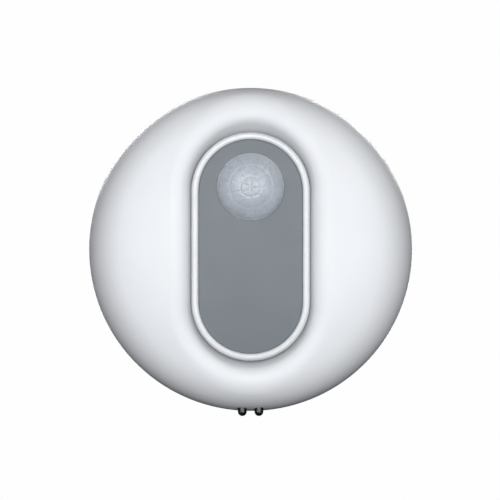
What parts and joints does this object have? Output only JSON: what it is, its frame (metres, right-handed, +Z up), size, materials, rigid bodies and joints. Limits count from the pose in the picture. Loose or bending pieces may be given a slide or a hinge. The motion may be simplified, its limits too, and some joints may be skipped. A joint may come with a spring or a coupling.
{
  "type": "motion sensor",
  "caption": "Round domed wall detector with a tall rounded window, a small infrared lens near its top, and a twist-off wall plate.",
  "frame": {"origin": "centre of the wall plate's rear face, midway between its two screw holes, in the plane of the wall", "axes": "+Y into the wall, so the front faces -Y; +Z up; +X to the right as seen from the front"},
  "size_m": [0.08, 0.0298, 0.0812],
  "materials": {
    "case_white": "fine moulded texture",
    "housing_white": "fine moulded texture",
    "plate_white": "moulded, matt",
    "lip_white": "polished",
    "panel_grey": "satin",
    "lens_frost": "frosted, grooved",
    "funnel_black": "matt",
    "board_green": "solder mask",
    "screw_steel": "zinc plated",
    "can_metal": "drawn",
    "filter_dark": "coated silicon",
    "lead_metal": "tinned",
    "spacer_white": "moulded",
    "switch_black": "moulded",
    "stem_tan": "moulded",
    "plunger_grey": "moulded",
    "button_grey": "moulded",
    "spring_steel": "nickel plated",
    "cell_jacket": "plain sleeve and bare ends",
    "pin_metal": "dark plated",
    "finger_brass": "sprung strip",
    "carrier_black": "moulded",
    "led_body": "clear over white",
    "guide_clear": "clear",
    "antenna_copper": "enamelled wire",
    "chip_black": "moulded",
    "crystal_metal": "drawn",
    "chip_ceramic": "fired",
    "seal_rubber": "matt",
    "pad_foam": "foam with peel film"
  },
  "bodies": {
    "wall_base": {"wall_plate": "plate_white", "adhesive_pads": "pad_foam"},
    "sensor_head": {"front_cover": "case_white", "rear_housing": "housing_white", "case_seal": "seal_rubber", "case_screws": "screw_steel", "window_bezel": "lip_white", "window_panel": "panel_grey", "fresnel_lens": "lens_frost", "lens_funnel": "funnel_black", "main_board": "board_green", "board_screws": "screw_steel", "detector_can": "can_metal", "detector_filter": "filter_dark", "detector_leads": "lead_metal", "detector_spacer": "spacer_white", "tamper_switch": "switch_black", "tamper_stem": "stem_tan", "tamper_spring": "spring_steel", "pairing_switch": "switch_black", "battery_left": "cell_jacket", "battery_right": "cell_jacket", "battery_plate_left": "spring_steel", "battery_plate_right": "spring_steel", "battery_spring_left": "spring_steel", "battery_spring_right": "spring_steel", "contact_pin_left": "pin_metal", "contact_pin_right": "pin_metal", "contact_finger_left": "finger_brass", "contact_finger_right": "finger_brass", "contact_carrier": "carrier_black", "status_led": "led_body", "daylight_sensor": "led_body", "led_light_guide": "guide_clear", "lux_light_guide": "guide_clear", "antenna": "antenna_copper", "radio_module": "board_green", "radio_shield": "can_metal", "controller_chip": "chip_black", "crystal": "crystal_metal", "chip_parts": "chip_ceramic"},
    "plunger": {"tamper_plunger": "plunger_grey"},
    "button": {"pairing_button": "button_grey", "pairing_stem": "stem_tan"}
  },
  "joints": [
    {"name": "twist_lock", "type": "hinge", "parent": "wall_base", "child": "sensor_head", "pos_m": [0, 0, 0], "axis": [0, -1, 0], "range_deg": [0, 18]},
    {"name": "tamper_travel", "type": "slide", "parent": "sensor_head", "child": "plunger", "axis": [0, -1, 0], "range_m": [0, 0.0012], "stiffness_N_per_m": 80, "springref_m": -0.006, "deforming": ["tamper_spring"]},
    {"name": "pairing_press", "type": "slide", "parent": "sensor_head", "child": "button", "axis": [0, -1, 0], "range_m": [0, 0.0003], "stiffness_N_per_m": 600, "springref_m": -0.0005}
  ]
}
